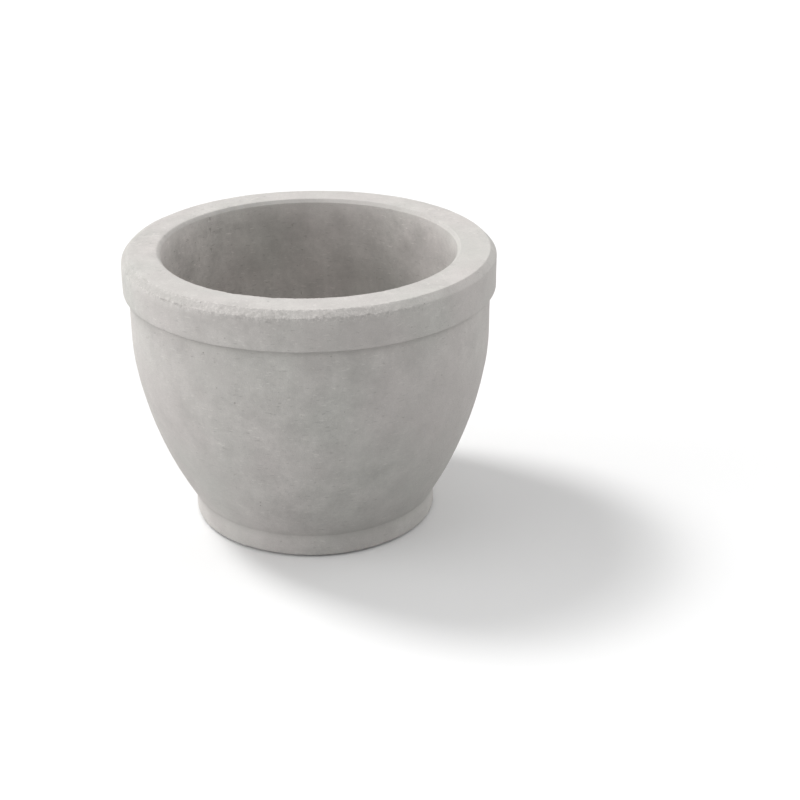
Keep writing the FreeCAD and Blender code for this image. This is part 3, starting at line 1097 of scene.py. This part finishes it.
    def facing(self, place: Vector, side: Vector) -> float:
        """How much a place faces a direction, from 0 for away to 1 for towards, with an uneven border."""
        towards = Vector((place.x, place.y, 0.0)).normalized().dot(side.normalized())
        return self.ease(towards + self.border.depth * self.border.at(place), *self.side_span)

    def unevenness(self, place: Vector) -> float:
        """The depth of the hand-cast unevenness at a place, never proud of the mould.

        Args:
            place: The place.

        Returns:
            The depth in metres.
        """
        broad = 0.5 + 0.5 * self.swell.at(place)
        finer = 0.5 + 0.5 * self.ripple.at(place)
        return self.swell.depth * broad + self.ripple.depth * finer

    @staticmethod
    def ease(value: float, low: float, high: float) -> float:
        """A smooth step from 0 at low to 1 at high."""
        share = min(1.0, max(0.0, (value - low) / (high - low)))
        return share * share * (3.0 - 2.0 * share)

    def pit(self, mesh: BMesh) -> None:
        """Sinks small pits, the marks of air bubbles, at scattered places.

        Args:
            mesh: The weathered casting.
        """
        draw = random.Random(self.seed)
        by_side: dict[Side, list[BMFace]] = {side: [] for side in Side}
        for face in mesh.faces:
            if len(face.verts) == 4:
                by_side[self.side_at(face.calc_center_median())].append(face)
        taken: set[BMVert] = set()
        picked: list[tuple[PitGroup, list[BMFace]]] = []
        for group in self.pits:
            faces = []
            room = 2.0 * (group.lip + group.slope)
            for face in self.scattered(draw, group, by_side[group.side]):
                if taken.isdisjoint(face.verts) and min(e.calc_length() for e in face.edges) > room:
                    taken.update(face.verts)
                    faces.append(face)
            picked.append((group, faces))
        for group, faces in picked:
            bmesh.ops.inset_individual(mesh, faces=faces, thickness=group.lip, use_even_offset=True)
            bmesh.ops.inset_individual(
                mesh, faces=faces, thickness=group.slope, depth=-group.depth, use_even_offset=True
            )

    def scattered(self, draw: random.Random, group: PitGroup, faces: list[BMFace]) -> list[BMFace]:
        """Picks the faces nearest to scattered places, whatever order the faces come in.

        Args:
            draw: What the places are drawn with.
            group: The pits that the faces are for.
            faces: The faces to pick from.

        Returns:
            The picked faces.
        """
        finder = kdtree.KDTree(len(faces))
        for index, face in enumerate(faces):
            finder.insert(face.calc_center_median(), index)
        finder.balance()
        radii, heights = self.outline.span_of(group.side)
        picked = []
        for _ in range(group.count):
            turn, radius = draw.uniform(0.0, FULL_TURN), draw.uniform(*radii)
            place = Vector((radius * math.cos(turn), radius * math.sin(turn), draw.uniform(*heights)))
            picked.append(faces[finder.find(place)[1]])
        return picked


@dataclass
class FrameFinishes:
    """The finishes of the solids that show as they are.

    Attributes:
        casting: The solid that the worn casting replaces.
        plug: The rubber stopper.
        sleeve: The tube that it closes.
        pads: The start of the pads' names.
    """

    casting: str = "concrete_shell"
    plug: str = "drain_plug"
    sleeve: str = "drain_sleeve"
    pads: str = "foot_pad"

    def finish_of(self, node: str) -> Finish:
        """The finish that a solid gets.

        Args:
            node: Its name.

        Returns:
            Its finish.
        """
        if node == self.plug:
            return PLUG_RUBBER
        if node == self.sleeve:
            return SLEEVE_PLASTIC
        if node.startswith(self.pads):
            return PAD_RUBBER
        return STEEL_WIRE

    def dress(self) -> None:
        """Gives every solid but the casting its finish."""
        for node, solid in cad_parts.items():
            if node == self.casting:
                continue
            finish = self.finish_of(node)
            solid.data.materials.clear()
            solid.data.materials.append(finish.material())
            LOG.info("%s: %s", node, finish.name)


@dataclass(frozen=True)
class Lamp:
    """A lamp that shines on the object from far off.

    Attributes:
        name: Its name.
        azimuth: Its direction seen from above, in degrees from +X.
        height: Its height over the horizon, in degrees.
        strength: Its strength.
        spread: Its width, in degrees, which softens its shadow.
    """

    name: str
    azimuth: float
    height: float
    strength: float
    spread: float

    def hang(self) -> None:
        """Hangs the lamp in the scene."""
        data = bpy.data.lights.new(self.name, "SUN")
        data.energy = self.strength
        data.angle = math.radians(self.spread)
        lamp = placed(self.name, data)
        level = math.cos(math.radians(self.height))
        turn = math.radians(self.azimuth)
        rise = math.sin(math.radians(self.height))
        towards = Vector((level * math.cos(turn), level * math.sin(turn), rise))
        lamp.rotation_euler = towards.to_track_quat("Z", "Y").to_euler()
        lamp.location = towards


@dataclass
class Studio:
    """The camera, the lamps, the world and the floor.

    Attributes:
        camera_place: Where the camera stands, in metres.
        camera_pitch: How far it looks down, in degrees.
        lens: Its focal length, in millimetres.
        sensor: The width of its sensor, in millimetres.
        lamps: The key behind the object's left shoulder, which is taller than it is wide and so
            takes two lamps, and the white walls to its sides.
        sky: The strength of the light from all round.
        floor_seen: The floor's white as the camera sees it.
        floor_bounce: The floor's grey as the object sees it.
        floor_reach: The floor's half width, in metres.
    """

    camera_place: tuple[float, float, float] = (0.1038, -1.7253, 0.9235)
    camera_pitch: float = 24.615
    lens: float = 71.28
    sensor: float = 36.0
    lamps: tuple[Lamp, ...] = (
        Lamp("key_low", 150.0, 49.0, 0.80, 15.0),
        Lamp("key_high", 150.0, 56.5, 0.80, 15.0),
        Lamp("left_wall", 190.0, 5.0, 2.03, 60.0),
        Lamp("right_wall", 24.0, 7.0, 1.08, 60.0),
    )
    sky: float = 0.52
    floor_seen: float = 1.0
    floor_bounce: float = 0.45
    floor_reach: float = 12.0

    def build(self) -> None:
        """Sets up everything but the object."""
        self.place_camera()
        for lamp in self.lamps:
            lamp.hang()
        self.light_world()
        self.lay_floor()
        bpy.context.scene.view_settings.view_transform = "Standard"

    def place_camera(self) -> None:
        """Places the camera at the photograph's viewing angle."""
        data = bpy.data.cameras.new("camera")
        data.sensor_width = self.sensor
        data.lens = self.lens
        camera = placed("camera", data)
        camera.location = self.camera_place
        camera.rotation_euler = (math.radians(90.0 - self.camera_pitch), 0.0, 0.0)
        bpy.context.scene.camera = camera

    @staticmethod
    def seen_directly(board: NodeBoard) -> NodeSocket:
        """Tells the rays that see a surface from those that only gather its light.

        Args:
            board: Where its nodes go.

        Returns:
            1 for rays from the camera, from mirrors and through glass, and 0 for the rest.
        """
        path = board.add("ShaderNodeLightPath")
        seen = board.maths("MAXIMUM", path.outputs["Is Camera Ray"], path.outputs["Is Glossy Ray"])
        return board.maths("MAXIMUM", seen, path.outputs["Is Transmission Ray"])

    def light_world(self) -> None:
        """Lights the object from all round, in front of a white backdrop."""
        world = bpy.data.worlds.new("studio")
        world.use_nodes = True
        board = NodeBoard(world.node_tree)
        strength = board.ramp(self.seen_directly(board), Span(first=self.sky, last=1.0))
        board.feed(world.node_tree.nodes["Background"], {"Strength": strength, "Color": WHITE})
        bpy.context.scene.world = world

    def lay_floor(self) -> None:
        """Lays the plain floor that takes the object's shadow."""
        mesh = bmesh.new()
        bmesh.ops.create_grid(mesh, x_segments=1, y_segments=1, size=self.floor_reach)
        floor = as_object("floor", mesh)
        paint = bpy.data.materials.new("floor_paint")
        paint.use_nodes = True
        paint.node_tree.nodes.clear()
        board = NodeBoard(paint.node_tree)
        shade = board.ramp(self.seen_directly(board), Span(first=self.floor_bounce, last=self.floor_seen))
        matt = board.add("ShaderNodeBsdfDiffuse", {"Color": board.grey(shade)})
        board.add("ShaderNodeOutputMaterial", {"Surface": matt.outputs["BSDF"]})
        floor.data.materials.append(paint)


def main() -> None:
    """Builds the object's looks round the frame."""
    logging.basicConfig(level=logging.INFO, format="%(name)s: %(message)s")
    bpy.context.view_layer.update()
    pot = ConcretePot(PotOutline.from_frame())
    piece = pot.build()
    pot.dress(piece)
    LOG.info("%s: %d faces", piece.name, len(piece.data.polygons))
    FrameFinishes().dress()
    Studio().build()


if __name__ == "__main__":
    main()
